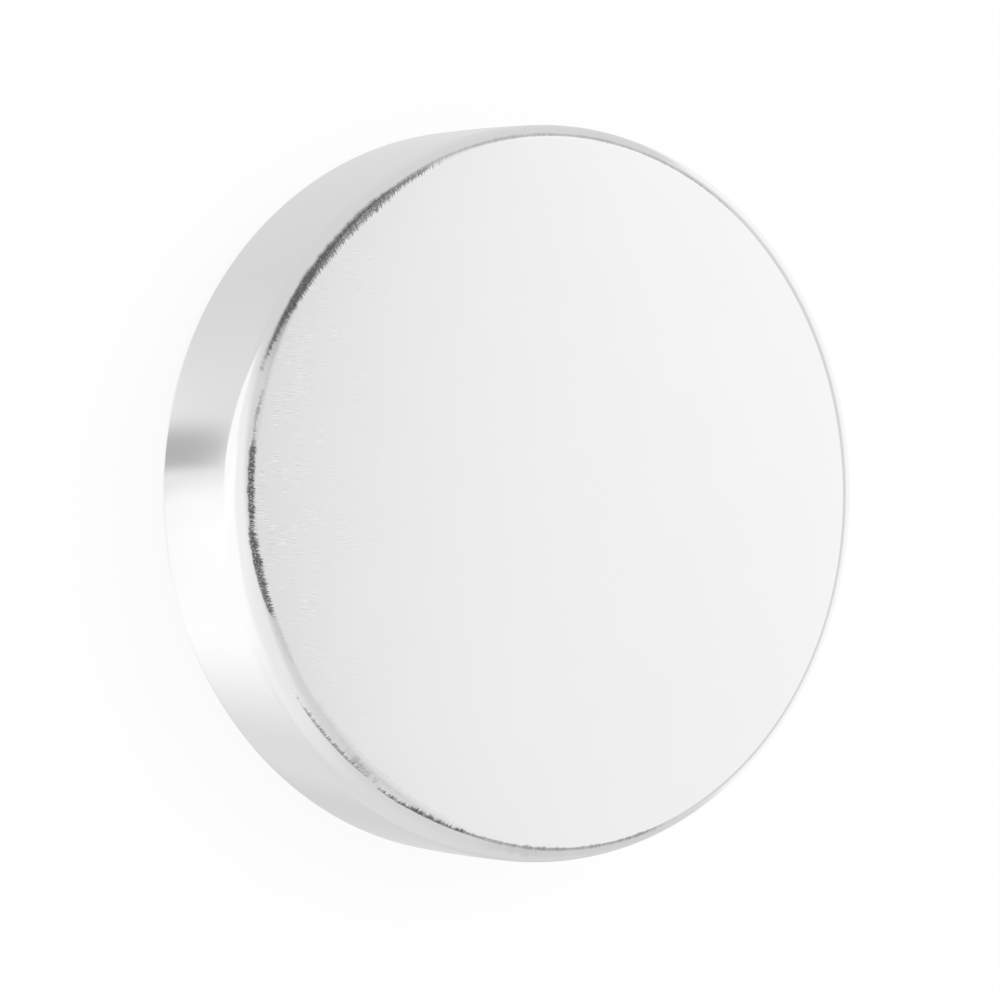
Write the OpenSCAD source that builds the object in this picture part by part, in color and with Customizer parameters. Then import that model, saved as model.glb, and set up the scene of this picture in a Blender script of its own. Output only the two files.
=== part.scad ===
// Plated disc magnet: one solid round disc with two flat, parallel pole faces.
// Grinding makes the faces flat, tumbling rounds both rims, and the plating
// follows the body all over, so the whole piece is one turned section.
// It lies on its lower pole face, with its axis along +Z and the origin at
// the centre of that face.

/* [Disc] */
// Diameter over the plating, in mm
disc_d = 18; // [6:0.5:50]
// Height from the lower pole face to the upper one, in mm
disc_h = 4; // [1.5:0.25:20]

/* [Rims] */
// Radius that tumbling leaves on both rims, in mm
rim_r = 0.45; // [0.1:0.05:0.7]

/* [Hidden] */

disc_r = disc_d / 2;
face_r = disc_r - rim_r;
wall_h = disc_h - 2 * rim_r;
$fn = 180;

// The round of one rim in section, centred at the given height.
module rim_round(height) {
    translate([face_r, height]) circle(r = rim_r);
}

// Half of the disc's section, from its axis (x = 0) out to the wall.
module half_section() {
    // Full height, out to the edge of the flat pole faces.
    square([face_r, disc_h]);
    // Out to the round wall, between the two rims.
    translate([0, rim_r]) square([disc_r, wall_h]);
    rim_round(rim_r);
    rim_round(disc_h - rim_r);
}

module disc_magnet() {
    color("gainsboro") rotate_extrude() half_section();
}

disc_magnet();
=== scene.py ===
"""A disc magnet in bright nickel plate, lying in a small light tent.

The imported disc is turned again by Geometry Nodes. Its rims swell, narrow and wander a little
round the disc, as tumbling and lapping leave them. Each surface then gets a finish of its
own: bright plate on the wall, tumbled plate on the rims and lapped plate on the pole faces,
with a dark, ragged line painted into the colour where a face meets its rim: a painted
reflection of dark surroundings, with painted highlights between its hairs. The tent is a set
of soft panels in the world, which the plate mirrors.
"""

import logging
import math
from dataclasses import dataclass, fields
from enum import Enum

import bpy
from mathutils import Matrix, Vector


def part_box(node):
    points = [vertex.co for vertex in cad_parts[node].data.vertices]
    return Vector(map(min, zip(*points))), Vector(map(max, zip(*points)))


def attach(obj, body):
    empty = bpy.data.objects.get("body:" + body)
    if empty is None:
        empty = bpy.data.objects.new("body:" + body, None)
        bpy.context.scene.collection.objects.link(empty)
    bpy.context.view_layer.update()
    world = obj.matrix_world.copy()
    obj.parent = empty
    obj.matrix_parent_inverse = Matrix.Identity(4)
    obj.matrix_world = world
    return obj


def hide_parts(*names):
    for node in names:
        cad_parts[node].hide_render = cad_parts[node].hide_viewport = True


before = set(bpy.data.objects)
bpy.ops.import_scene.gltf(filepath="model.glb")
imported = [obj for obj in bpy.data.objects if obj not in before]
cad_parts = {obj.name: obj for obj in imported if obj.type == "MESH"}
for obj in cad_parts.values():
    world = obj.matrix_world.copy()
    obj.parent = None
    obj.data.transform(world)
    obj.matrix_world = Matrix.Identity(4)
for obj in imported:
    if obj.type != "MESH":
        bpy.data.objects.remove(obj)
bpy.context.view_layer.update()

MM = 0.001
MM_PER_M = 1000.0
log = logging.getLogger("disc_magnet")

Socket = bpy.types.NodeSocket
Feed = Socket | bpy.types.ID | str | float | tuple[float, ...]
Feeds = dict[str | int, Feed]


class Graph:
    """Builds one node tree: adds nodes, sets their options and feeds their sockets."""

    def __init__(self, tree: bpy.types.NodeTree) -> None:
        """Starts on an empty tree.

        Args:
            tree: The tree to build in. Nodes that it holds already are removed.
        """
        self.tree = tree
        tree.nodes.clear()

    def add(
        self, kind: str, feeds: Feeds | None = None, **options: str | bool | bpy.types.NodeTree
    ) -> bpy.types.Node:
        """Adds a node.

        Args:
            kind: The node's type name in Blender.
            feeds: What goes into each input, by its name or number.
            **options: Properties of the node itself, such as its operation.

        Returns:
            The new node.
        """
        node = self.tree.nodes.new(kind)
        for option, value in options.items():
            setattr(node, option, value)
        for name, value in (feeds or {}).items():
            self.feed(node.inputs[name], value)
        return node

    def feed(self, socket: Socket, value: Feed) -> None:
        """Links another socket to an input, or sets the input's own value.

        Args:
            socket: The input.
            value: The socket to link, or the value to set.
        """
        if isinstance(value, Socket):
            self.tree.links.new(value, socket)
        else:
            socket.default_value = value

    def group(self, tree: bpy.types.NodeTree, feeds: Feeds) -> bpy.types.NodeOutputs:
        """Places a group of shader nodes.

        Args:
            tree: The group.
            feeds: What goes into each of its inputs.

        Returns:
            The placed group's outputs.
        """
        return self.add("ShaderNodeGroup", feeds, node_tree=tree).outputs

    def math(self, operation: str, first: Feed, second: Feed = 0.0, third: Feed = 0.0) -> Socket:
        """Adds a Math node.

        Args:
            operation: The node's operation.
            first: The first number.
            second: The second number, where the operation has one.
            third: The third number, where the operation has one.

        Returns:
            The result's socket.
        """
        feeds = {0: first, 1: second, 2: third}
        return self.add("ShaderNodeMath", feeds, operation=operation).outputs[0]

    def plus(self, first: Feed, second: Feed) -> Socket:
        """Adds two numbers."""
        return self.math("ADD", first, second)

    def minus(self, first: Feed, second: Feed) -> Socket:
        """Takes the second number from the first."""
        return self.math("SUBTRACT", first, second)

    def times(self, first: Feed, second: Feed) -> Socket:
        """Multiplies two numbers."""
        return self.math("MULTIPLY", first, second)

    def vector(self, operation: str, first: Feed, second: Feed | None = None) -> Socket:
        """Adds a Vector Math node.

        Args:
            operation: The node's operation.
            first: The first vector.
            second: The second vector, or the factor of a SCALE.

        Returns:
            The socket of the result, a number for DOT_PRODUCT and LENGTH.
        """
        feeds = {0: first}
        if second is not None:
            feeds["Scale" if operation == "SCALE" else 1] = second
        node = self.add("ShaderNodeVectorMath", feeds, operation=operation)
        return node.outputs["Value" if operation in ("DOT_PRODUCT", "LENGTH") else "Vector"]

    def combine(self, x: Feed, y: Feed, z: Feed) -> Socket:
        """Joins three numbers into a vector.

        Args:
            x: The X part.
            y: The Y part.
            z: The Z part.

        Returns:
            The vector's socket.
        """
        return self.add("ShaderNodeCombineXYZ", {"X": x, "Y": y, "Z": z}).outputs[0]

    def ramp(self, value: Feed, start: Feed, end: Feed, smooth: bool = True) -> Socket:
        """Turns a value into a share that goes from 0 at start to 1 at end.

        Args:
            value: The value to read.
            start: Where the share is 0.
            end: Where the share is 1.
            smooth: Whether the share eases in and out.

        Returns:
            The share's socket.
        """
        feeds = {"Value": value, "From Min": start, "From Max": end}
        easing = "SMOOTHSTEP" if smooth else "LINEAR"
        return self.add("ShaderNodeMapRange", feeds, interpolation_type=easing).outputs[0]

    def noise(self, place: Feed, scale: Feed, detail: float, roughness: float = 0.5) -> Socket:
        """Adds a noise.

        Args:
            place: Where it is read.
            scale: How fine it is.
            detail: How many finer layers it has.
            roughness: How strong the finer layers are.

        Returns:
            The socket of its value, from 0 to 1 and mostly near 0.5.
        """
        feeds = {"Vector": place, "Scale": scale, "Detail": detail, "Roughness": roughness}
        return self.add("ShaderNodeTexNoise", feeds).outputs[0]

    def blend(self, first: Feed, second: Feed, share: Feed) -> Socket:
        """Mixes two numbers.

        Args:
            first: The number at share 0.
            second: The number at share 1.
            share: How much of the second.

        Returns:
            The mixed number's socket.
        """
        return self.add("ShaderNodeMix", {0: share, 2: first, 3: second}, data_type="FLOAT").outputs[0]


def new_group(
    name: str, kind: str, inputs: dict[str, str], outputs: dict[str, str]
) -> tuple[Graph, bpy.types.NodeOutputs]:
    """Makes an empty node group with named sockets.

    Args:
        name: The group's name.
        kind: The tree's type, for shaders or for geometry.
        inputs: The type of each input, by its name.
        outputs: The type of each output, by its name.

    Returns:
        The group's graph and the sockets that its inputs arrive at.
    """
    tree = bpy.data.node_groups.new(name, kind)
    graph = Graph(tree)
    for direction, sockets in (("INPUT", inputs), ("OUTPUT", outputs)):
        for label, socket_type in sockets.items():
            tree.interface.new_socket(label, in_out=direction, socket_type=socket_type)
    return graph, graph.add("NodeGroupInput").outputs


NUMBER = "NodeSocketFloat"
WHOLE = "NodeSocketInt"
VECTOR = "NodeSocketVector"
GEOMETRY = "NodeSocketGeometry"
MATERIAL = "NodeSocketMaterial"


# The disc ------------------------------------------------------------------


class Surface(Enum):
    """The disc's surfaces, by the input of the lathe that takes each finish."""

    FACE = "Face Finish"
    RIM = "Rim Finish"
    WALL = "Wall Finish"


# The attribute that holds the way from the nearest face's edge, in millimetres.
EDGE_TRAVEL = "edge_travel"
LOBES = (1, 2, 3)
STRETCHES = ("lower_face", "lower_rim", "wall", "upper_rim", "upper_face")

# Points closer together than this are the same point, in metres.
MERGE_GAP = 1e-7
# How far apart in the noise the wanders of the two rims lie.
RIM_SPREAD = 3.0
# The power of the radius by which a face falls away: the higher, the nearer to its edge.
FALL_POWER = 12.0


class Lathe:
    """The Geometry Nodes tree that turns the disc.

    A grid is bent round the axis. Its columns go round the disc, and its rows run from the
    middle of the lower face out over the lower rim, up the wall, over the upper rim and back
    to the middle of the upper face.
    """

    def __init__(self) -> None:
        """Opens the tree with its named inputs."""
        sizes = ["Radius", "Height", "Rim Radius", "Rim Wander", "Face Fall", "Wall Crown", "Seed"]
        for lobes in LOBES:
            sizes += [f"Swell {lobes}", f"Swell {lobes} Angle"]
        counts = ("Columns", "Face Rows", "Rim Rows", "Wall Rows")
        finishes = (surface.value for surface in Surface)
        inputs = dict.fromkeys(sizes, NUMBER) | dict.fromkeys(counts, WHOLE)
        inputs |= dict.fromkeys(finishes, MATERIAL)
        opened = new_group("disc_lathe", "GeometryNodeTree", inputs, {"Geometry": GEOMETRY})
        self.graph, self.size = opened
        self.graph.tree.is_modifier = True

    def build(self) -> bpy.types.NodeTree:
        """Builds the tree.

        Returns:
            The tree.
        """
        graph = self.graph
        ends = self.stretch_ends()
        grid, turn, row = self.lay_grid(ends[-1])
        share = {
            stretch: graph.ramp(row, start, end, smooth=False)
            for stretch, start, end in zip(STRETCHES, [0.0, *ends], ends)
        }
        cosine, sine = graph.math("COSINE", turn), graph.math("SINE", turn)
        ring = graph.combine(cosine, sine, graph.times(share["wall"], RIM_SPREAD))
        radius, height, travel = self.section(share, self.rim_width(turn, ring))

        x, y = graph.times(radius, cosine), graph.times(radius, sine)
        bent = {"Geometry": grid, "Position": graph.combine(x, y, height)}
        shape = graph.add("GeometryNodeSetPosition", bent)
        closed = {"Geometry": shape.outputs[0], "Distance": MERGE_GAP}
        shape = graph.add("GeometryNodeMergeByDistance", closed)
        named = {"Geometry": shape.outputs[0], "Name": EDGE_TRAVEL, "Value": travel}
        shape = graph.add("GeometryNodeStoreNamedAttribute", named, data_type="FLOAT", domain="POINT")
        shape = graph.add("GeometryNodeSetShadeSmooth", {"Geometry": shape.outputs[0]})
        shape = graph.add("GeometryNodeRealizeInstances", {"Geometry": shape.outputs[0]})
        dressed = self.set_materials(shape.outputs[0], row, ends)
        graph.add("NodeGroupOutput", {"Geometry": dressed})
        return graph.tree

    def stretch_ends(self) -> list[Socket]:
        """Counts the rows.

        Returns:
            The row at which each stretch of the section ends.
        """
        face, rim, wall = (self.size[name] for name in ("Face Rows", "Rim Rows", "Wall Rows"))
        ends = [face]
        for rows in (rim, wall, rim, face):
            ends.append(self.graph.plus(ends[-1], rows))
        return ends

    def lay_grid(self, last_row: Socket) -> tuple[Socket, Socket, Socket]:
        """Lays the grid.

        Args:
            last_row: Number of the last row.

        Returns:
            The grid, and at each of its points the turn round the axis, in radians, and the
            number of the row.
        """
        graph = self.graph
        grid_size = {
            "Size X": 1.0,
            "Size Y": 1.0,
            "Vertices X": graph.plus(self.size["Columns"], 1.0),
            "Vertices Y": graph.plus(last_row, 1.0),
        }
        grid = graph.add("GeometryNodeMeshGrid", grid_size)
        position = graph.add("GeometryNodeInputPosition").outputs[0]
        place = graph.add("ShaderNodeSeparateXYZ", {0: position}).outputs
        turn = graph.times(graph.plus(place["X"], 0.5), math.tau)
        row = graph.times(graph.plus(place["Y"], 0.5), last_row)
        row = graph.math("ROUND", row)
        kept = graph.add("GeometryNodeCaptureAttribute", {"Geometry": grid.outputs["Mesh"]})
        for label, value in (("Turn", turn), ("Row", row)):
            kept.capture_items.new("FLOAT", label)
            graph.feed(kept.inputs[label], value)
        return kept.outputs["Geometry"], kept.outputs["Turn"], kept.outputs["Row"]

    def rim_width(self, turn: Socket, ring: Socket) -> Socket:
        """Lets the rims' width swell and wander round the disc.

        Args:
            turn: Turn round the axis, in radians.
            ring: Place in the noise, which differs between the two rims.

        Returns:
            The width there.
        """
        graph, size = self.graph, self.size
        feeds = {"Vector": ring, "W": size["Seed"], "Scale": 0.9, "Detail": 3.0, "Roughness": 0.45}
        wander = graph.add("ShaderNodeTexNoise", feeds, noise_dimensions="4D").outputs[0]
        wander = graph.times(graph.minus(wander, 0.5), 2.0)
        width = graph.math("MULTIPLY_ADD", wander, size["Rim Wander"], size["Rim Radius"])
        for lobes in LOBES:
            bearing = graph.minus(turn, size[f"Swell {lobes} Angle"])
            swell = graph.math("COSINE", graph.times(bearing, float(lobes)))
            width = graph.math("MULTIPLY_ADD", swell, size[f"Swell {lobes}"], width)
        return width

    def section(self, share: dict[str, Socket], rim_width: Socket) -> tuple[Socket, Socket, Socket]:
        """Places each row on the section.

        Args:
            share: How far along each stretch of the section a row is, from 0 to 1.
            rim_width: Width of the rims there.

        Returns:
            The radius, the height, and the way along the section from the nearest face's
            edge, in millimetres, which is minus inside the face.
        """
        graph, size = self.graph, self.size
        wall = share["wall"]
        face_radius = graph.minus(size["Radius"], rim_width)

        # Face rows close up towards the rim: a share s of them covers 1 - (1 - s)^2 of the radius.
        lower_gap = graph.math("POWER", graph.minus(1.0, share["lower_face"]), 2.0)
        upper_gap = graph.math("POWER", share["upper_face"], 2.0)
        reach = graph.minus(graph.minus(1.0, lower_gap), upper_gap)

        quarter = math.pi / 2
        lower_turn = graph.times(share["lower_rim"], quarter)
        upper_turn = graph.times(share["upper_rim"], quarter)
        rim_out = graph.minus(graph.math("SINE", lower_turn), 1.0)
        rim_out = graph.plus(rim_out, graph.math("COSINE", upper_turn))
        radius = graph.times(face_radius, reach)
        radius = graph.math("MULTIPLY_ADD", rim_width, rim_out, radius)

        wall_height = graph.math("MULTIPLY_ADD", rim_width, -2.0, size["Height"])
        rim_rise = graph.minus(1.0, graph.math("COSINE", lower_turn))
        rim_rise = graph.plus(rim_rise, graph.math("SINE", upper_turn))
        height = graph.times(wall_height, wall)
        height = graph.math("MULTIPLY_ADD", rim_width, rim_rise, height)

        # The wall stands very slightly proud half way up.
        bulge = graph.math("MULTIPLY_ADD", wall, 2.0, -1.0)
        hollow = graph.times(graph.times(bulge, bulge), size["Wall Crown"])
        radius = graph.minus(radius, graph.times(hollow, reach))

        # Lapping lets each face fall away by a few micrometres as it nears the rim.
        fall = graph.times(graph.math("POWER", reach, FALL_POWER), size["Face Fall"])
        off_face = graph.minus(share["lower_rim"], share["upper_rim"])
        fall = graph.times(fall, graph.minus(1.0, off_face))
        into_disc = graph.math("MULTIPLY_ADD", wall, -2.0, 1.0)
        height = graph.math("MULTIPLY_ADD", fall, into_disc, height)

        round_turn = graph.math("MINIMUM", lower_turn, graph.minus(quarter, upper_turn))
        travel = graph.times(graph.minus(reach, 1.0), face_radius)
        travel = graph.math("MULTIPLY_ADD", round_turn, rim_width, travel)
        return radius, height, graph.times(travel, MM_PER_M)

    def set_materials(self, shape: Socket, row: Socket, ends: list[Socket]) -> Socket:
        """Gives each surface its finish: the faces' all over, then the rims', then the wall's.

        Args:
            shape: The turned disc.
            row: Number of the row at each point.
            ends: The row at which each stretch of the section ends.

        Returns:
            The disc with its materials.
        """
        graph = self.graph
        lower_face_end, lower_rim_end, wall_end, upper_rim_end, _ = ends
        past_face = graph.math("GREATER_THAN", row, lower_face_end)
        off_faces = graph.times(past_face, graph.math("LESS_THAN", row, upper_rim_end))
        past_rim = graph.math("GREATER_THAN", row, lower_rim_end)
        on_wall = graph.times(past_rim, graph.math("LESS_THAN", row, wall_end))
        for surface, where in ((Surface.FACE, True), (Surface.RIM, off_faces), (Surface.WALL, on_wall)):
            finish = {"Geometry": shape, "Selection": where, "Material": self.size[surface.value]}
            shape = graph.add("GeometryNodeSetMaterial", finish).outputs[0]
        return shape


@dataclass
class DiscMagnet:
    """The plated disc, lying on its lower face with its axis along +Z.

    Attributes:
        radius: Radius of the wall, in metres.
        height: From face to face, in metres.
        rim_radius: Radius of the rims, in metres.
        rim_wander: How far the rims' width strays from that radius, in metres.
        lapped_off: How much of the rims' width the lapping of the faces took, in metres.
        face_fall: How far the faces fall away at the rim, in metres.
        wall_crown: How far the wall stands proud half way up, in metres.
        swells: How far the rims' width swells in one, two and three lobes, in metres, and the
            bearing of a lobe's middle, in degrees from +X towards +Y.
        columns: Columns of the mesh round the disc.
        face_rows: Rows of the mesh on each face.
        rim_rows: Rows on each rim.
        wall_rows: Rows on the wall.
        seed: Seed of the wander.
    """

    radius: float
    height: float
    rim_radius: float
    rim_wander: float = 0.02 * MM
    lapped_off: float = 0.01 * MM
    face_fall: float = 0.006 * MM
    wall_crown: float = 0.02 * MM
    swells: tuple[tuple[float, float], ...] = ((0.10 * MM, 210.0), (0.11 * MM, 28.0), (0.035 * MM, 0.0))
    columns: int = 900
    face_rows: int = 20
    rim_rows: int = 20
    wall_rows: int = 8
    seed: float = 3.0

    @classmethod
    def measured(cls, node: str) -> "DiscMagnet":
        """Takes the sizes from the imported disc.

        Args:
            node: The disc's node in the frame.

        Returns:
            A disc with those sizes.
        """
        low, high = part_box(node)
        radius, height = (high.x - low.x) / 2, high.z - low.z
        places = [vertex.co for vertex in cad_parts[node].data.vertices]
        face_radius = max(math.hypot(co.x, co.y) for co in places if co.z > high.z - MERGE_GAP)
        return cls(radius=radius, height=height, rim_radius=radius - face_radius)

    def build(self, finishes: dict[Surface, bpy.types.Material]) -> bpy.types.Object:
        """Turns the disc.

        Args:
            finishes: The material of each surface.

        Returns:
            The disc as a plain mesh object.
        """
        tree = Lathe().build()
        holder = bpy.data.objects.new("lathe", bpy.data.meshes.new("lathe"))
        bpy.context.scene.collection.objects.link(holder)
        modifier = holder.modifiers.new("lathe", "NODES")
        modifier.node_group = tree
        values = {
            "Radius": self.radius,
            "Height": self.height,
            "Rim Radius": self.rim_radius - self.lapped_off,
            "Rim Wander": self.rim_wander,
            "Face Fall": self.face_fall,
            "Wall Crown": self.wall_crown,
            "Columns": self.columns,
            "Face Rows": self.face_rows,
            "Rim Rows": self.rim_rows,
            "Wall Rows": self.wall_rows,
            "Seed": self.seed,
        }
        values.update({surface.value: finish for surface, finish in finishes.items()})
        for lobes, (swell, angle) in zip(LOBES, self.swells):
            values[f"Swell {lobes}"] = swell
            values[f"Swell {lobes} Angle"] = math.radians(angle)
        sockets = tree.interface.items_tree
        identifiers = {item.name: item.identifier for item in sockets if item.in_out == "INPUT"}
        for name, value in values.items():
            modifier[identifiers[name]] = value
        turned = holder.evaluated_get(bpy.context.evaluated_depsgraph_get())
        mesh = bpy.data.meshes.new_from_object(turned)
        bpy.data.objects.remove(holder)
        mesh.name = "plated_disc"
        disc = bpy.data.objects.new("plated_disc", mesh)
        bpy.context.scene.collection.objects.link(disc)
        return disc


# Finishes ------------------------------------------------------------------


def plating_group() -> bpy.types.NodeTree:
    """Builds the group for what all the plate shares: a faint peel and faint clouding.

    Returns:
        The group. It reads a place in millimetres and gives a height in millimetres and a
        clouding from 0 to 1.
    """
    inputs = {"Place": VECTOR, "Peel Size": NUMBER, "Peel Height": NUMBER}
    outputs = {"Height": NUMBER, "Clouding": NUMBER}
    graph, given = new_group("plating", "ShaderNodeTree", inputs, outputs)
    fineness = graph.math("DIVIDE", 1.0, given["Peel Size"])
    peel = graph.noise(given["Place"], fineness, detail=2.0, roughness=0.4)
    cloud = graph.noise(given["Place"], 0.45, detail=4.0, roughness=0.6)
    height = graph.times(peel, given["Peel Height"])
    graph.add("NodeGroupOutput", {"Height": height, "Clouding": cloud})
    return graph.tree


# Noise values over which a patch of threads, a dark thread and a light thread come in.
PATCH_RAMP = (0.42, 0.66)
DARK_RAMP = (0.62, 0.70)
LIGHT_RAMP = (0.38, 0.30)
# How strong the threads are outside the freshly lapped part.
WORN_SHARE = 0.02


def lapping_group() -> bpy.types.NodeTree:
    """Builds the group for the short threads, light and dark, that lapping leaves along X.

    Returns:
        The group. It reads a place in millimetres and gives a height in millimetres and a
        mark, from -1 for a light thread to 1 for a dark one.
    """
    sizes = ("Mark Length", "Mark Width", "Mark Height", "Fresh From", "Fresh To")
    inputs = {"Place": VECTOR} | dict.fromkeys(sizes, NUMBER)
    outputs = {"Height": NUMBER, "Mark": NUMBER}
    graph, given = new_group("lapping_marks", "ShaderNodeTree", inputs, outputs)
    parts = graph.add("ShaderNodeSeparateXYZ", {0: given["Place"]}).outputs
    along = graph.math("DIVIDE", parts["X"], given["Mark Length"])
    across = graph.math("DIVIDE", parts["Y"], given["Mark Width"])
    grain = graph.noise(graph.combine(along, across, parts["Z"]), 1.0, detail=0.0)
    patch = graph.ramp(graph.noise(given["Place"], 1.6, detail=2.0), *PATCH_RAMP)
    fresh = graph.ramp(parts["X"], given["Fresh To"], given["Fresh From"])
    strength = graph.math("MULTIPLY_ADD", fresh, 1.0 - WORN_SHARE, WORN_SHARE)
    patch = graph.times(patch, strength)
    mark = graph.minus(graph.ramp(grain, *DARK_RAMP), graph.ramp(grain, *LIGHT_RAMP))
    mark = graph.times(mark, patch)
    height = graph.times(mark, graph.times(given["Mark Height"], -1.0))
    graph.add("NodeGroupOutput", {"Height": height, "Mark": mark})
    return graph.tree


# What the hairs' group gives, and the noise values over which each of its parts comes in.
EDGE_SIGNS = ("Bearing", "Hair", "Break", "Speck")
HAIR_RAMP = (0.3, 0.7)
BREAK_RAMP = (0.35, 0.65)
SPECK_RAMP = (0.56, 0.68)


def hair_group() -> bpy.types.NodeTree:
    """Builds the group for the hairs of the painted dark reflection at a face's ragged edge.

    Returns:
        The group. It reads a place and the way from the face's edge, both in millimetres. It
        gives the place's bearing in degrees and, from 0 to 1, how far each hair reaches, how
        broken the edge is and the bright specks on it.
    """
    sizes = ("Travel", "Disc Radius", "Hair Width", "Hair Lean")
    inputs = {"Place": VECTOR} | dict.fromkeys(sizes, NUMBER)
    outputs = dict.fromkeys(EDGE_SIGNS, NUMBER)
    graph, given = new_group("edge_hairs", "ShaderNodeTree", inputs, outputs)
    parts = graph.add("ShaderNodeSeparateXYZ", {0: given["Place"]}).outputs
    bearing = graph.math("ARCTAN2", parts["Y"], parts["X"])
    bearing = graph.math("MULTIPLY_ADD", bearing, 180.0 / math.pi, 360.0)
    bearing = graph.math("MODULO", bearing, 360.0)
    outward = graph.vector("NORMALIZE", graph.combine(parts["X"], parts["Y"], 0.0))
    on_wall = graph.vector("SCALE", outward, given["Disc Radius"])
    forward = graph.combine(graph.times(parts["Y"], -1.0), parts["X"], 0.0)
    lean = graph.times(given["Travel"], given["Hair Lean"])
    lean = graph.vector("SCALE", graph.vector("NORMALIZE", forward), lean)
    sideways = graph.vector("ADD", on_wall, lean)
    hair_place = graph.vector("SCALE", sideways, graph.math("DIVIDE", 1.0, given["Hair Width"]))
    hair = graph.ramp(graph.noise(hair_place, 1.0, detail=2.0, roughness=0.6), *HAIR_RAMP)
    broken = graph.ramp(graph.noise(on_wall, 2.2, detail=4.0, roughness=0.65), *BREAK_RAMP)
    speck = graph.ramp(graph.noise(given["Place"], 26.0, detail=1.0), *SPECK_RAMP)
    graph.add("NodeGroupOutput", dict(zip(EDGE_SIGNS, (bearing, hair, broken, speck))))
    return graph.tree


@dataclass(frozen=True)
class PaintedReflectionStyle:
    """How every stretch of the painted dark reflection at a face's edge is drawn.

    Attributes:
        stray: How far round the disc a broken end strays, in degrees.
        end_from: Where an end starts to show, in degrees past it.
        end_to: Where it shows in full, in degrees past it.
        thin: Share of the width that is left at a tapered end.
        root: Noise of a hair that ends at the line itself.
        blur: How far the hairs' tips fade each way, in millimetres.
        speck_loss: Share of the darkness that a bright speck takes away.
        plain: Darkness where no hair runs.
        hair_gain: How much darker a hair is than that.
        darkest: The darkest shade, where 1 is black.
        inner_fade: Over how much of the line the bright hairs fade out, in millimetres.
        bright_from: Noise at which the painted highlight between the hairs starts to brighten the
            plate.
        bright_to: Noise at which the painted highlight is brightest.
        bright_gain: How bright the painted highlight gets there.
    """

    stray: float = 4.0
    end_from: float = -2.0
    end_to: float = 3.0
    thin: float = 0.15
    root: float = 0.35
    blur: float = 0.014
    speck_loss: float = 0.6
    plain: float = 0.85
    hair_gain: float = 0.4
    darkest: float = 0.96
    inner_fade: float = 0.05
    bright_from: float = 0.48
    bright_to: float = 0.25
    bright_gain: float = 0.22


def painted_reflection_group(style: PaintedReflectionStyle) -> bpy.types.NodeTree:
    """Builds the group for one stretch of the dark, ragged line painted at a face's edge, a painted
    reflection of dark surroundings.

    The line is soft on the rim's side, and on the face's side it ends in fine hairs.

    Args:
        style: How the line is drawn.

    Returns:
        The group. It reads lengths in millimetres and bearings in degrees, and gives a shade
        up to 1 for black, and under 0 for the painted highlights between the hairs.
    """
    names = EDGE_SIGNS + ("Travel",) + tuple(part.name.capitalize() for part in fields(PaintedReflectionStretch))
    inputs = dict.fromkeys(names, NUMBER)
    graph, size = new_group("painted_edge_reflection", "ShaderNodeTree", inputs, {"Shade": NUMBER})

    # How much of the line there is at this bearing, and how thick it is.
    bearing = graph.math("MULTIPLY_ADD", size["Break"], style.stray, size["Bearing"])
    reached, thick = 1.0, 1.0
    past_start = graph.minus(bearing, size["Start"])
    before_end = graph.minus(size["End"], bearing)
    for way in (past_start, before_end):
        shown = graph.ramp(way, style.end_from, style.end_to)
        reached = graph.times(reached, shown)
        tapered = graph.ramp(way, style.end_from, size["Taper"])
        thick = graph.times(thick, tapered)

    # The line's middle, bowed by a parabola, and half its width.
    along = graph.ramp(bearing, size["Start"], size["End"], smooth=False)
    middle = graph.math("MULTIPLY_ADD", along, size["Drift"], size["Offset"])
    falling = graph.minus(4.0, graph.times(along, 4.0))
    parabola = graph.times(along, falling)
    middle = graph.math("MULTIPLY_ADD", parabola, size["Bow"], middle)
    outward = graph.minus(size["Travel"], middle)
    inward = graph.times(outward, -1.0)
    swing = graph.math("MULTIPLY_ADD", size["Break"], 2.0, -1.0)
    swing = graph.math("MULTIPLY_ADD", swing, size["Gap"], 1.0)
    half = graph.times(graph.times(size["Width"], 0.5), swing)
    thickness = graph.math("MULTIPLY_ADD", thick, 1.0 - style.thin, style.thin)
    half = graph.times(half, thickness)

    # The painted dark reflection, soft outside and hairy inside.
    fade_end = graph.plus(half, size["Fade"])
    soft_side = graph.ramp(outward, fade_end, graph.minus(half, size["Fade"]))
    hairs = graph.minus(size["Hair"], style.root)
    hairs = graph.math("MULTIPLY_ADD", hairs, size["Reach"], half)
    tip = graph.plus(hairs, style.blur)
    hairy_side = graph.ramp(inward, tip, graph.minus(hairs, style.blur))
    line = graph.times(graph.times(soft_side, hairy_side), reached)
    specks = graph.math("MULTIPLY_ADD", size["Speck"], -style.speck_loss, 1.0)
    streaks = graph.math("MULTIPLY_ADD", size["Hair"], style.hair_gain, style.plain)
    line = graph.times(line, graph.times(streaks, specks))
    line = graph.times(line, size["Strength"])
    line = graph.math("MINIMUM", line, style.darkest)

    # Between the dark hairs, a painted highlight brightens the plate.
    fringe = graph.ramp(inward, graph.plus(half, size["Reach"]), half)
    inner = graph.ramp(inward, graph.minus(half, style.inner_fade), half)
    fringe = graph.times(fringe, inner)
    bright = graph.ramp(size["Hair"], style.bright_from, style.bright_to)
    bright = graph.times(bright, graph.times(fringe, reached))
    gain = graph.times(size["Strength"], style.bright_gain)
    bright = graph.times(bright, gain)
    graph.add("NodeGroupOutput", {"Shade": graph.minus(line, bright)})
    return graph.tree


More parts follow.
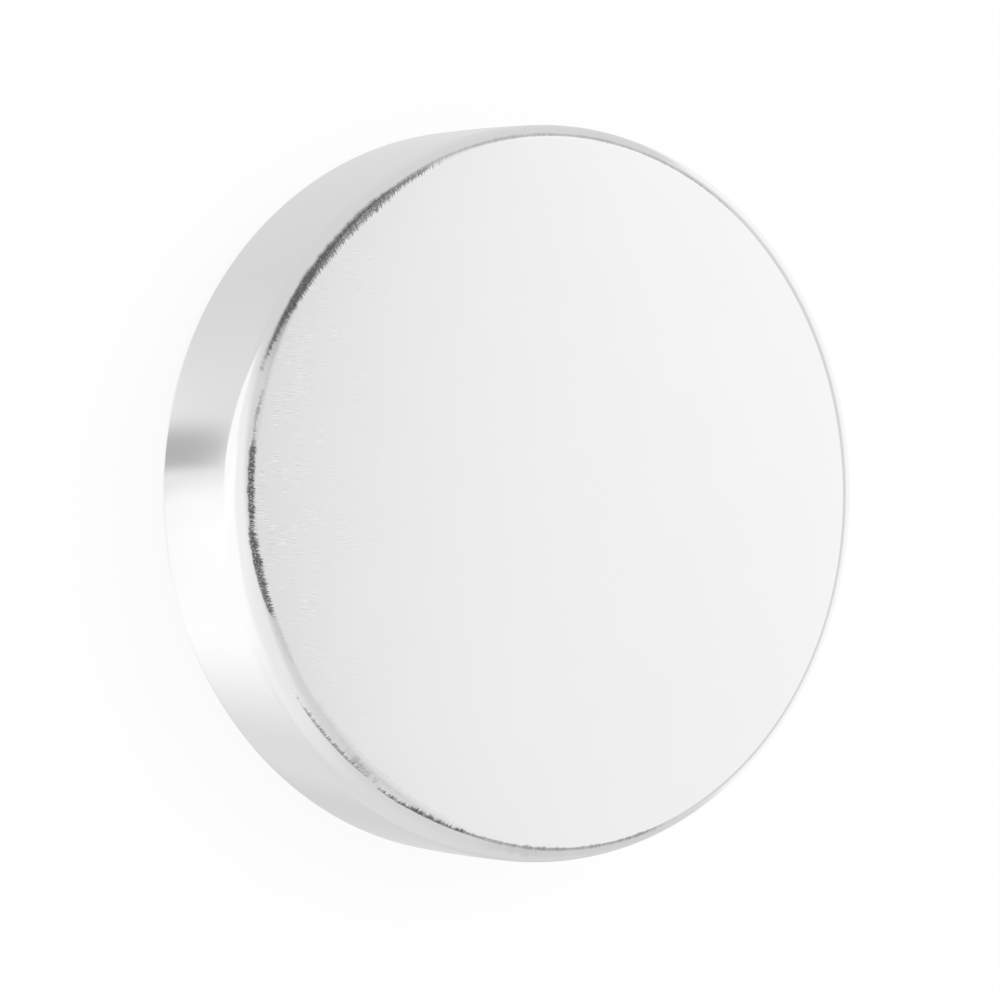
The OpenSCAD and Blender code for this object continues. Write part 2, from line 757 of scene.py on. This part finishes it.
@dataclass(frozen=True)
class PaintedReflectionStretch:
    """One stretch of the dark, ragged line painted where a lapped face meets its rim, a painted
    reflection of dark surroundings.

    Attributes:
        start: Bearing at which it starts, in degrees from +X towards +Y.
        end: Bearing at which it ends.
        offset: How far out from the face's edge it starts, in millimetres.
        drift: How much further out it ends.
        width: Width of the line, in millimetres.
        fade: How far its outer side fades each way, in millimetres.
        reach: How far its hairs reach, in millimetres.
        taper: Over how many degrees it thins out towards each end.
        gap: How broken it is, from 0 for even to 1 for gaps.
        strength: How dark it is, from 0 to 1.
        bow: How far out it bows at its middle, in millimetres.
    """

    start: float
    end: float
    offset: float
    drift: float
    width: float
    fade: float
    reach: float
    taper: float
    gap: float
    strength: float
    bow: float = 0.0


# Start and end in degrees; offset, drift, width, fade and reach in millimetres; taper in
# degrees; gap and strength as shares; bow in millimetres.
# The stretches of the painted dark reflection along the faces' edges.
PAINTED_REFLECTION_STRETCHES = (
    PaintedReflectionStretch(58, 126, 0.05, 0.06, 0.06, 0.03, 0.03, 12, 0.3, 0.28),
    PaintedReflectionStretch(118.5, 163, 0.05, 0.24, 0.25, 0.06, 0.12, 18, 0.10, 0.64, -0.10),
    PaintedReflectionStretch(167, 173, 0.10, 0.05, 0.07, 0.02, 0.08, 1, 0.9, 0.40),
    PaintedReflectionStretch(173, 189, 0.12, 0.00, 0.17, 0.03, 0.08, 4, 0.25, 0.74),
    PaintedReflectionStretch(187.5, 203, 0.17, -0.09, 0.18, 0.03, 0.12, 5, 0.25, 0.74),
    PaintedReflectionStretch(203, 211, 0.07, -0.03, 0.14, 0.05, 0.12, 2, 0.5, 0.11),
    PaintedReflectionStretch(217, 236, 0.352, -0.14, 0.05, 0.02, 0.08, 7, 0.5, 0.54),
    PaintedReflectionStretch(218, 254, -0.02, 0.00, 0.14, 0.05, 0.10, 12, 0.4, 0.08),
    PaintedReflectionStretch(230, 236, 0.14, 0.00, 0.13, 0.03, 0.10, 1, 0.6, 0.30),
    PaintedReflectionStretch(238, 259, 0.275, -0.17, 0.07, 0.02, 0.10, 8, 0.45, 0.76, -0.055),
    PaintedReflectionStretch(256, 296, 0.08, -0.01, 0.07, 0.04, 0.03, 6, 0.3, 0.44),
    PaintedReflectionStretch(259, 273, 0.18, 0.00, 0.26, 0.06, 0.04, 3, 0.4, 0.06),
    PaintedReflectionStretch(262, 296, 0.18, 0.00, 0.24, 0.06, 0.04, 6, 0.4, 0.06),
)

# How much light the plate mirrors.
PLATE_TONE = 0.84


@dataclass(frozen=True)
class PlateFinish:
    """Bright nickel plate as one of the disc's surfaces shows it.

    Attributes:
        name: The material's name.
        tone: How much light the plate mirrors.
        roughness: Roughness of the clean plate.
        clouding: How much the roughness changes from place to place.
        cloud_tone: How much darker the plate is where it is clouded.
        peel_size: Size of the plate's faint peel, in millimetres.
        peel_height: Height of that peel, in millimetres.
        mark_height: Height of the lapping marks, in millimetres.
        mark_tone: How much darker or lighter the marks are.
        mark_length: Length of a mark, in millimetres.
        mark_width: Width of a mark, in millimetres.
        fresh_from: X where the freshly lapped part has its strongest marks, in millimetres.
        fresh_to: X where that part ends, in millimetres.
        painted_reflection: Stretches of the painted dark reflection at the face's edge that reach this
            surface.
        hair_width: Width of the line's hairs, in millimetres.
        hair_lean: How far round the disc a hair leans for each millimetre of its way.
    """

    name: str
    tone: float = PLATE_TONE
    roughness: float = 0.1
    clouding: float = 0.04
    cloud_tone: float = 0.02
    peel_size: float = 1.4
    peel_height: float = 0.0006
    mark_height: float = 0.0
    mark_tone: float = 0.0
    mark_length: float = 0.30
    mark_width: float = 0.022
    fresh_from: float = -9.0
    fresh_to: float = -3.8
    painted_reflection: tuple[PaintedReflectionStretch, ...] = ()
    hair_width: float = 0.017
    hair_lean: float = 0.35

    def build(self, groups: "PlateGroups", disc_radius: float) -> bpy.types.Material:
        """Builds the material.

        Args:
            groups: The node groups that the finishes share.
            disc_radius: Radius of the disc's wall, in metres.

        Returns:
            The material.
        """
        material = bpy.data.materials.new(self.name)
        material.use_nodes = True
        graph = Graph(material.node_tree)
        place = graph.add("ShaderNodeTexCoord").outputs["Object"]
        place = graph.vector("SCALE", place, MM_PER_M)
        travel = graph.add("ShaderNodeAttribute", attribute_name=EDGE_TRAVEL).outputs["Fac"]

        peel = {"Place": place, "Peel Size": self.peel_size, "Peel Height": self.peel_height}
        plating = graph.group(groups.plating, peel)
        height = plating["Height"]
        # How much darker the colour is: random clouding, then lapping marks, then the painted
        # reflection at the face's edge.
        dark = graph.times(plating["Clouding"], self.cloud_tone)
        if self.mark_height:
            sizes = {
                "Place": place,
                "Mark Length": self.mark_length,
                "Mark Width": self.mark_width,
                "Mark Height": self.mark_height,
                "Fresh From": self.fresh_from,
                "Fresh To": self.fresh_to,
            }
            marks = graph.group(groups.lapping, sizes)
            height = graph.plus(height, marks["Height"])
            dark = graph.math("MULTIPLY_ADD", marks["Mark"], self.mark_tone, dark)
        # The painted dark reflection at the face's edge, with painted highlights between its hairs,
        # goes into the colour.
        if self.painted_reflection:
            sizes = {
                "Place": place,
                "Travel": travel,
                "Disc Radius": disc_radius * MM_PER_M,
                "Hair Width": self.hair_width,
                "Hair Lean": self.hair_lean,
            }
            hairs = graph.group(groups.hairs, sizes)
            seen = {"Travel": travel} | {sign: hairs[sign] for sign in EDGE_SIGNS}
            for stretch in self.painted_reflection:
                sizes = {name.capitalize(): value for name, value in vars(stretch).items()}
                dark = graph.plus(dark, graph.group(groups.painted_reflection, seen | sizes)["Shade"])

        tone = graph.times(graph.minus(1.0, dark), self.tone)
        colour = graph.combine(tone, tone, tone)
        roughness = graph.math("MULTIPLY_ADD", plating["Clouding"], self.clouding, self.roughness)
        bump = graph.add("ShaderNodeBump", {"Height": height, "Strength": 1.0, "Distance": MM})
        plate = {
            "Base Color": colour,
            "Metallic": 1.0,
            "Roughness": roughness,
            "Normal": bump.outputs["Normal"],
        }
        shader = graph.add("ShaderNodeBsdfPrincipled", plate)
        graph.add("ShaderNodeOutputMaterial", {"Surface": shader.outputs["BSDF"]})
        return material


class PlateGroups:
    """The node groups that the finishes share."""

    def __init__(self) -> None:
        """Builds each group once."""
        self.plating = plating_group()
        self.lapping = lapping_group()
        self.hairs = hair_group()
        # The painted dark reflection at the faces' edges.
        self.painted_reflection = painted_reflection_group(PaintedReflectionStyle())


FINISHES = {
    Surface.FACE: PlateFinish(
        name="lapped_plate",
        roughness=0.13,
        clouding=0.01,
        mark_height=0.0006,
        mark_tone=0.13,
        painted_reflection=PAINTED_REFLECTION_STRETCHES,
    ),
    Surface.RIM: PlateFinish(name="tumbled_plate", roughness=0.09, painted_reflection=PAINTED_REFLECTION_STRETCHES),
    Surface.WALL: PlateFinish(name="bright_plate", roughness=0.09),
}


# The tent ------------------------------------------------------------------


# The standard display curve.
CURVE_OFFSET = 0.055
CURVE_POWER = 2.4


def display_level(grey: float) -> float:
    """Gives the radiance that shows as a grey of the picture.

    Args:
        grey: The grey, where 1 is white.

    Returns:
        The radiance.
    """
    return ((grey + CURVE_OFFSET) / (1.0 + CURVE_OFFSET)) ** CURVE_POWER


@dataclass(frozen=True)
class TentPanel:
    """A flat, soft-edged panel of the tent, square to the line to its plane's middle.

    Attributes:
        name: What the panel is.
        azimuth: Where its plane's middle is round the disc, in degrees from +X towards +Y.
        elevation: Where that middle is above the disc, in degrees.
        turn: How far the panel is turned in its plane, in degrees.
        across: From one side edge to the other in its plane, as shares of its distance.
        up: From its lower edge to its upper one.
        softness: How far its side edges and then its other edges fade each way.
        mirrored: The grey that the plate shows where it mirrors the panel, over 1 for one
            that is brighter than white.
    """

    name: str
    azimuth: float
    elevation: float
    turn: float
    across: tuple[float, float]
    up: tuple[float, float]
    softness: tuple[float, float]
    mirrored: float

    def feeds(self) -> Feeds:
        """Turns the panel's place into directions.

        Returns:
            What goes into the inputs of the panel's group.
        """
        pan = Matrix.Rotation(math.radians(self.azimuth), 3, "Z")
        lift = Matrix.Rotation(math.radians(-self.elevation), 3, "Y")
        roll = Matrix.Rotation(math.radians(self.turn), 3, "X")
        axes = (pan @ lift @ roll).transposed()
        return {
            "Facing": tuple(axes[0]),
            "Across": tuple(axes[1]),
            "Up": tuple(axes[2]),
            "Left": self.across[0],
            "Right": self.across[1],
            "Bottom": self.up[0],
            "Top": self.up[1],
            "Side Softness": self.softness[0],
            "End Softness": self.softness[1],
        }


# The least way ahead that a place in a panel's plane is worked out for.
LEAST_DEPTH = 0.001


def panel_group() -> bpy.types.NodeTree:
    """Builds the group that says how much of a panel a direction meets.

    Returns:
        The group.
    """
    vectors = dict.fromkeys(("Direction", "Facing", "Across", "Up"), VECTOR)
    edges = ("Left", "Right", "Bottom", "Top", "Side Softness", "End Softness")
    inputs = vectors | dict.fromkeys(edges, NUMBER)
    graph, size = new_group("tent_panel", "ShaderNodeTree", inputs, {"Share": NUMBER})
    ahead = graph.vector("DOT_PRODUCT", size["Direction"], size["Facing"])
    depth = graph.math("MAXIMUM", ahead, LEAST_DEPTH)
    share = graph.math("GREATER_THAN", ahead, 0.0)
    for axis, low, high, softness in (
        ("Across", "Left", "Right", "Side Softness"),
        ("Up", "Bottom", "Top", "End Softness"),
    ):
        aside = graph.vector("DOT_PRODUCT", size["Direction"], size[axis])
        place = graph.math("DIVIDE", aside, depth)
        for edge, inward in ((low, 1.0), (high, -1.0)):
            inside = graph.times(graph.minus(place, size[edge]), inward)
            outer = graph.times(size[softness], -1.0)
            share = graph.times(share, graph.ramp(inside, outer, size[softness]))
    graph.add("NodeGroupOutput", {"Share": share})
    return graph.tree


@dataclass(frozen=True)
class Tent:
    """The light tent: a pale world, its panels, a floor and a lamp.

    Attributes:
        cloth: The grey that the plate shows where it mirrors bare tent cloth.
        plate_tone: How much light the plate mirrors.
        fill: Level of the world on the floor.
        floor_size: Length of the floor's sides, in metres.
        floor_tone: Colour of the floor.
        shadow_share: How much of the disc's shadow the camera sees.
        lamp_place: Where the lamp hangs, in metres.
        lamp_width: Width of the lamp, in metres.
        lamp_power: Power of the lamp, in watts.
        panels: The panels, each laid over those before it.
    """

    cloth: float
    plate_tone: float
    fill: float
    floor_size: float
    floor_tone: float
    shadow_share: float
    lamp_place: tuple[float, float, float]
    lamp_width: float
    lamp_power: float
    panels: tuple[TentPanel, ...]

    def build_world(self) -> None:
        """Builds the world: white for the camera, the tent for mirrors, plain for the rest."""
        world = bpy.data.worlds.new("tent")
        world.use_nodes = True
        world.cycles.sampling_method = "NONE"
        bpy.context.scene.world = world
        graph = Graph(world.node_tree)
        direction = graph.add("ShaderNodeTexCoord").outputs["Generated"]
        level: Feed = display_level(self.cloth) / self.plate_tone
        tree = panel_group()
        for panel in self.panels:
            share = graph.group(tree, panel.feeds() | {"Direction": direction})["Share"]
            level = graph.blend(level, display_level(panel.mirrored) / self.plate_tone, share)
        path = graph.add("ShaderNodeLightPath").outputs
        level = graph.blend(self.fill, level, path["Is Glossy Ray"])
        level = graph.blend(level, 1.0, path["Is Camera Ray"])
        light = graph.add("ShaderNodeBackground", {"Color": graph.combine(level, level, level)})
        graph.add("ShaderNodeOutputWorld", {"Surface": light.outputs[0]})

    def build_floor(self) -> bpy.types.Object:
        """Builds the floor, which mirrors don't see, so that the plate shows the tent.

        Returns:
            The floor.
        """
        half = self.floor_size / 2
        mesh = bpy.data.meshes.new("tent_floor")
        corners = [(-half, -half, 0), (half, -half, 0), (half, half, 0), (-half, half, 0)]
        mesh.from_pydata(corners, [], [(0, 1, 2, 3)])
        floor = bpy.data.objects.new("tent_floor", mesh)
        bpy.context.scene.collection.objects.link(floor)
        floor.visible_glossy = False
        material = bpy.data.materials.new("floor_card")
        material.use_nodes = True
        graph = Graph(material.node_tree)
        card_tone = (self.floor_tone, self.floor_tone, self.floor_tone, 1.0)
        card = graph.add("ShaderNodeBsdfDiffuse", {"Color": card_tone})
        white = graph.add("ShaderNodeEmission", {"Strength": 1.0})
        seen = graph.add("ShaderNodeLightPath").outputs["Is Camera Ray"]
        share = graph.times(seen, 1.0 - self.shadow_share)
        mixed = graph.add("ShaderNodeMixShader", {0: share, 1: card.outputs[0], 2: white.outputs[0]})
        graph.add("ShaderNodeOutputMaterial", {"Surface": mixed.outputs[0]})
        mesh.materials.append(material)
        return floor

    def hang_lamp(self) -> bpy.types.Object:
        """Hangs a soft lamp that faces the disc and lights the floor.

        Returns:
            The lamp.
        """
        place = Vector(self.lamp_place)
        data = bpy.data.lights.new("key_lamp", "AREA")
        data.shape = "DISK"
        data.size = self.lamp_width
        data.energy = self.lamp_power
        lamp = bpy.data.objects.new("key_lamp", data)
        lamp.location = place
        lamp.rotation_euler = place.to_track_quat("Z", "Y").to_euler()
        lamp.visible_glossy = False
        lamp.visible_camera = False
        bpy.context.scene.collection.objects.link(lamp)
        return lamp


TENT = Tent(
    cloth=0.835,
    plate_tone=PLATE_TONE,
    fill=0.95,
    floor_size=1.0,
    floor_tone=0.9,
    shadow_share=0.12,
    lamp_place=(0.16, 0.12, 0.34),
    lamp_width=0.3,
    lamp_power=0.45,
    # Name; azimuth, elevation and turn in degrees; across, up and softness as shares of the
    # distance; and the grey that the plate shows.
    panels=(
        TentPanel("cloth glow", 40, -10, 0, (-0.30, 0.95), (-20.0, 0.0), (0.5, 0.5), 0.839),
        TentPanel("rim glow", 86, -22, 0, (-0.50, 0.30), (-0.35, 0.35), (0.3, 0.3), 0.852),
        TentPanel("low cloth", 312, -60, 0, (-0.35, 0.35), (-0.6, 0.6), (0.3, 0.3), 0.805),
        TentPanel("left glow", 158, -50, 0, (-0.25, 0.25), (-0.6, 0.6), (0.2, 0.4), 0.870),
        TentPanel("lower cloth", 265, -10, 0, (-0.5, 0.4), (-2.5, 0.9), (0.2, 0.6), 0.855),
        TentPanel("left cloth", 188, 20, 0, (0.22, 0.72), (-1.7, 1.5), (0.15, 0.9), 0.945),
        TentPanel("left cloth side", 188, 20, -30, (-0.62, 0.6), (-0.5, 1.15), (0.26, 0.6), 0.945),
        TentPanel("left cloth fade", 234, 25, 0, (-0.25, 0.3), (-0.85, 1.3), (0.25, 0.4), 0.915),
        TentPanel("left panel", 180, 0, 17, (-0.57, 0.10), (-20.0, 0.24), (0.05, 0.24), 0.989),
        TentPanel("left panel side", 180, 0, 11, (-0.10, 0.50), (-20.0, 0.28), (0.06, 0.24), 1.005),
        TentPanel("left panel fade", 240, 0, 14, (-1.35, -0.25), (-20.0, 0.45), (0.38, 0.3), 0.995),
        TentPanel("under glow", 0, -90, 0, (-0.22, 0.22), (-0.42, 0.40), (0.15, 0.18), 0.95),
        TentPanel("block apron", 170, -60, 0, (0.0, 0.095), (-0.3, 0.10), (0.045, 0.06), 0.91),
        TentPanel("block haze", 170, -60, 0, (-0.065, 0.0), (-0.2, 0.02), (0.045, 0.06), 0.69),
        TentPanel("dark block", 170, -60, 0, (-0.03, 0.043), (-0.2, 0.02), (0.018, 0.06), 0.69),
        TentPanel("right panel", -2, 0, 0, (-0.53, 0.85), (-0.95, 0.46), (0.08, 0.26), 0.965),
        TentPanel("ceiling", -90, 90, -6, (0.566, 0.85), (-0.30, 0.42), (0.055, 0.12), 0.950),
        TentPanel("ceiling lamp", -90, 90, 35, (0.585, 0.75), (-0.65, -0.10), (0.06, 0.12), 0.985),
        TentPanel("low shade", -90, 90, 52, (-0.14, 0.26), (-0.58, -0.36), (0.1, 0.08), 0.825),
        TentPanel("port", -90, 90, -21, (-0.72, 0.24), (0.21, 0.52), (0.05, 0.08), 0.64),
    ),
)


# The camera ----------------------------------------------------------------


@dataclass(frozen=True)
class Viewpoint:
    """Where the camera looks from.

    The camera stands over the disc, tilted off its axis towards -X, with +Y up in the
    picture, so that the wall shows on the left.

    Attributes:
        tilt: Angle between the disc's axis and the line of sight, in degrees.
        roll: Turn of the camera about that line, in degrees.
        distance: Distance from the disc's middle, in disc radii.
        frame_half: Half the picture's width at that distance, in disc radii.
        off_right: How far right of the picture's middle the disc is, in disc radii.
        off_up: How far above it the disc is, in disc radii.
        sensor_width: Width of the sensor, in millimetres.
        clip_start: The nearest that it sees, in metres.
        clip_end: The farthest that it sees, in metres.
    """

    tilt: float = 32.1
    roll: float = -1.9
    distance: float = 13.1
    frame_half: float = 1.37
    off_right: float = 0.04
    off_up: float = 0.019
    sensor_width: float = 36.0
    clip_start: float = 0.001
    clip_end: float = 10.0

    def place(self, disc: DiscMagnet) -> bpy.types.Object:
        """Sets up the camera.

        Args:
            disc: What it looks at.

        Returns:
            The camera.
        """
        tilt, roll = math.radians(self.tilt), math.radians(self.roll)
        back = Vector((-math.sin(tilt), 0, math.cos(tilt)))
        level_right = Vector((math.cos(tilt), 0, math.sin(tilt)))
        level_up = Vector((0, 1, 0))
        right = math.cos(roll) * level_right - math.sin(roll) * level_up
        up = math.sin(roll) * level_right + math.cos(roll) * level_up
        middle = Vector((0, 0, disc.height / 2))
        offset = back * self.distance - right * self.off_right - up * self.off_up

        data = bpy.data.cameras.new("camera")
        data.sensor_width = self.sensor_width
        data.lens = self.sensor_width / 2 * self.distance / self.frame_half
        data.clip_start = self.clip_start
        data.clip_end = self.clip_end
        camera = bpy.data.objects.new("camera", data)
        bpy.context.scene.collection.objects.link(camera)
        turn = Matrix((right, up, back)).transposed().to_4x4()
        camera.matrix_world = Matrix.Translation(middle + offset * disc.radius) @ turn
        bpy.context.scene.camera = camera
        return camera


def main() -> None:
    """Builds the disc, the tent and the camera."""
    logging.basicConfig(level=logging.INFO, format="%(name)s: %(message)s")
    scene = bpy.context.scene
    scene.view_settings.view_transform = "Standard"

    disc = DiscMagnet.measured("disc_magnet")
    groups = PlateGroups()
    finishes = {surface: finish.build(groups, disc.radius) for surface, finish in FINISHES.items()}
    piece = disc.build(finishes)
    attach(piece, "root")
    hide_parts("disc_magnet")
    log.info("%s: %d faces, radius %.2f mm", piece.name, len(piece.data.polygons), disc.radius / MM)

    TENT.build_world()
    log.info("world: %d panels", len(TENT.panels))
    floor = TENT.build_floor()
    log.info("%s: %.1f m square", floor.name, TENT.floor_size)
    lamp = TENT.hang_lamp()
    log.info("%s: %.2f W", lamp.name, TENT.lamp_power)
    camera = Viewpoint().place(disc)
    log.info("%s: %.0f mm lens", camera.name, camera.data.lens)


if __name__ == "__main__":
    main()
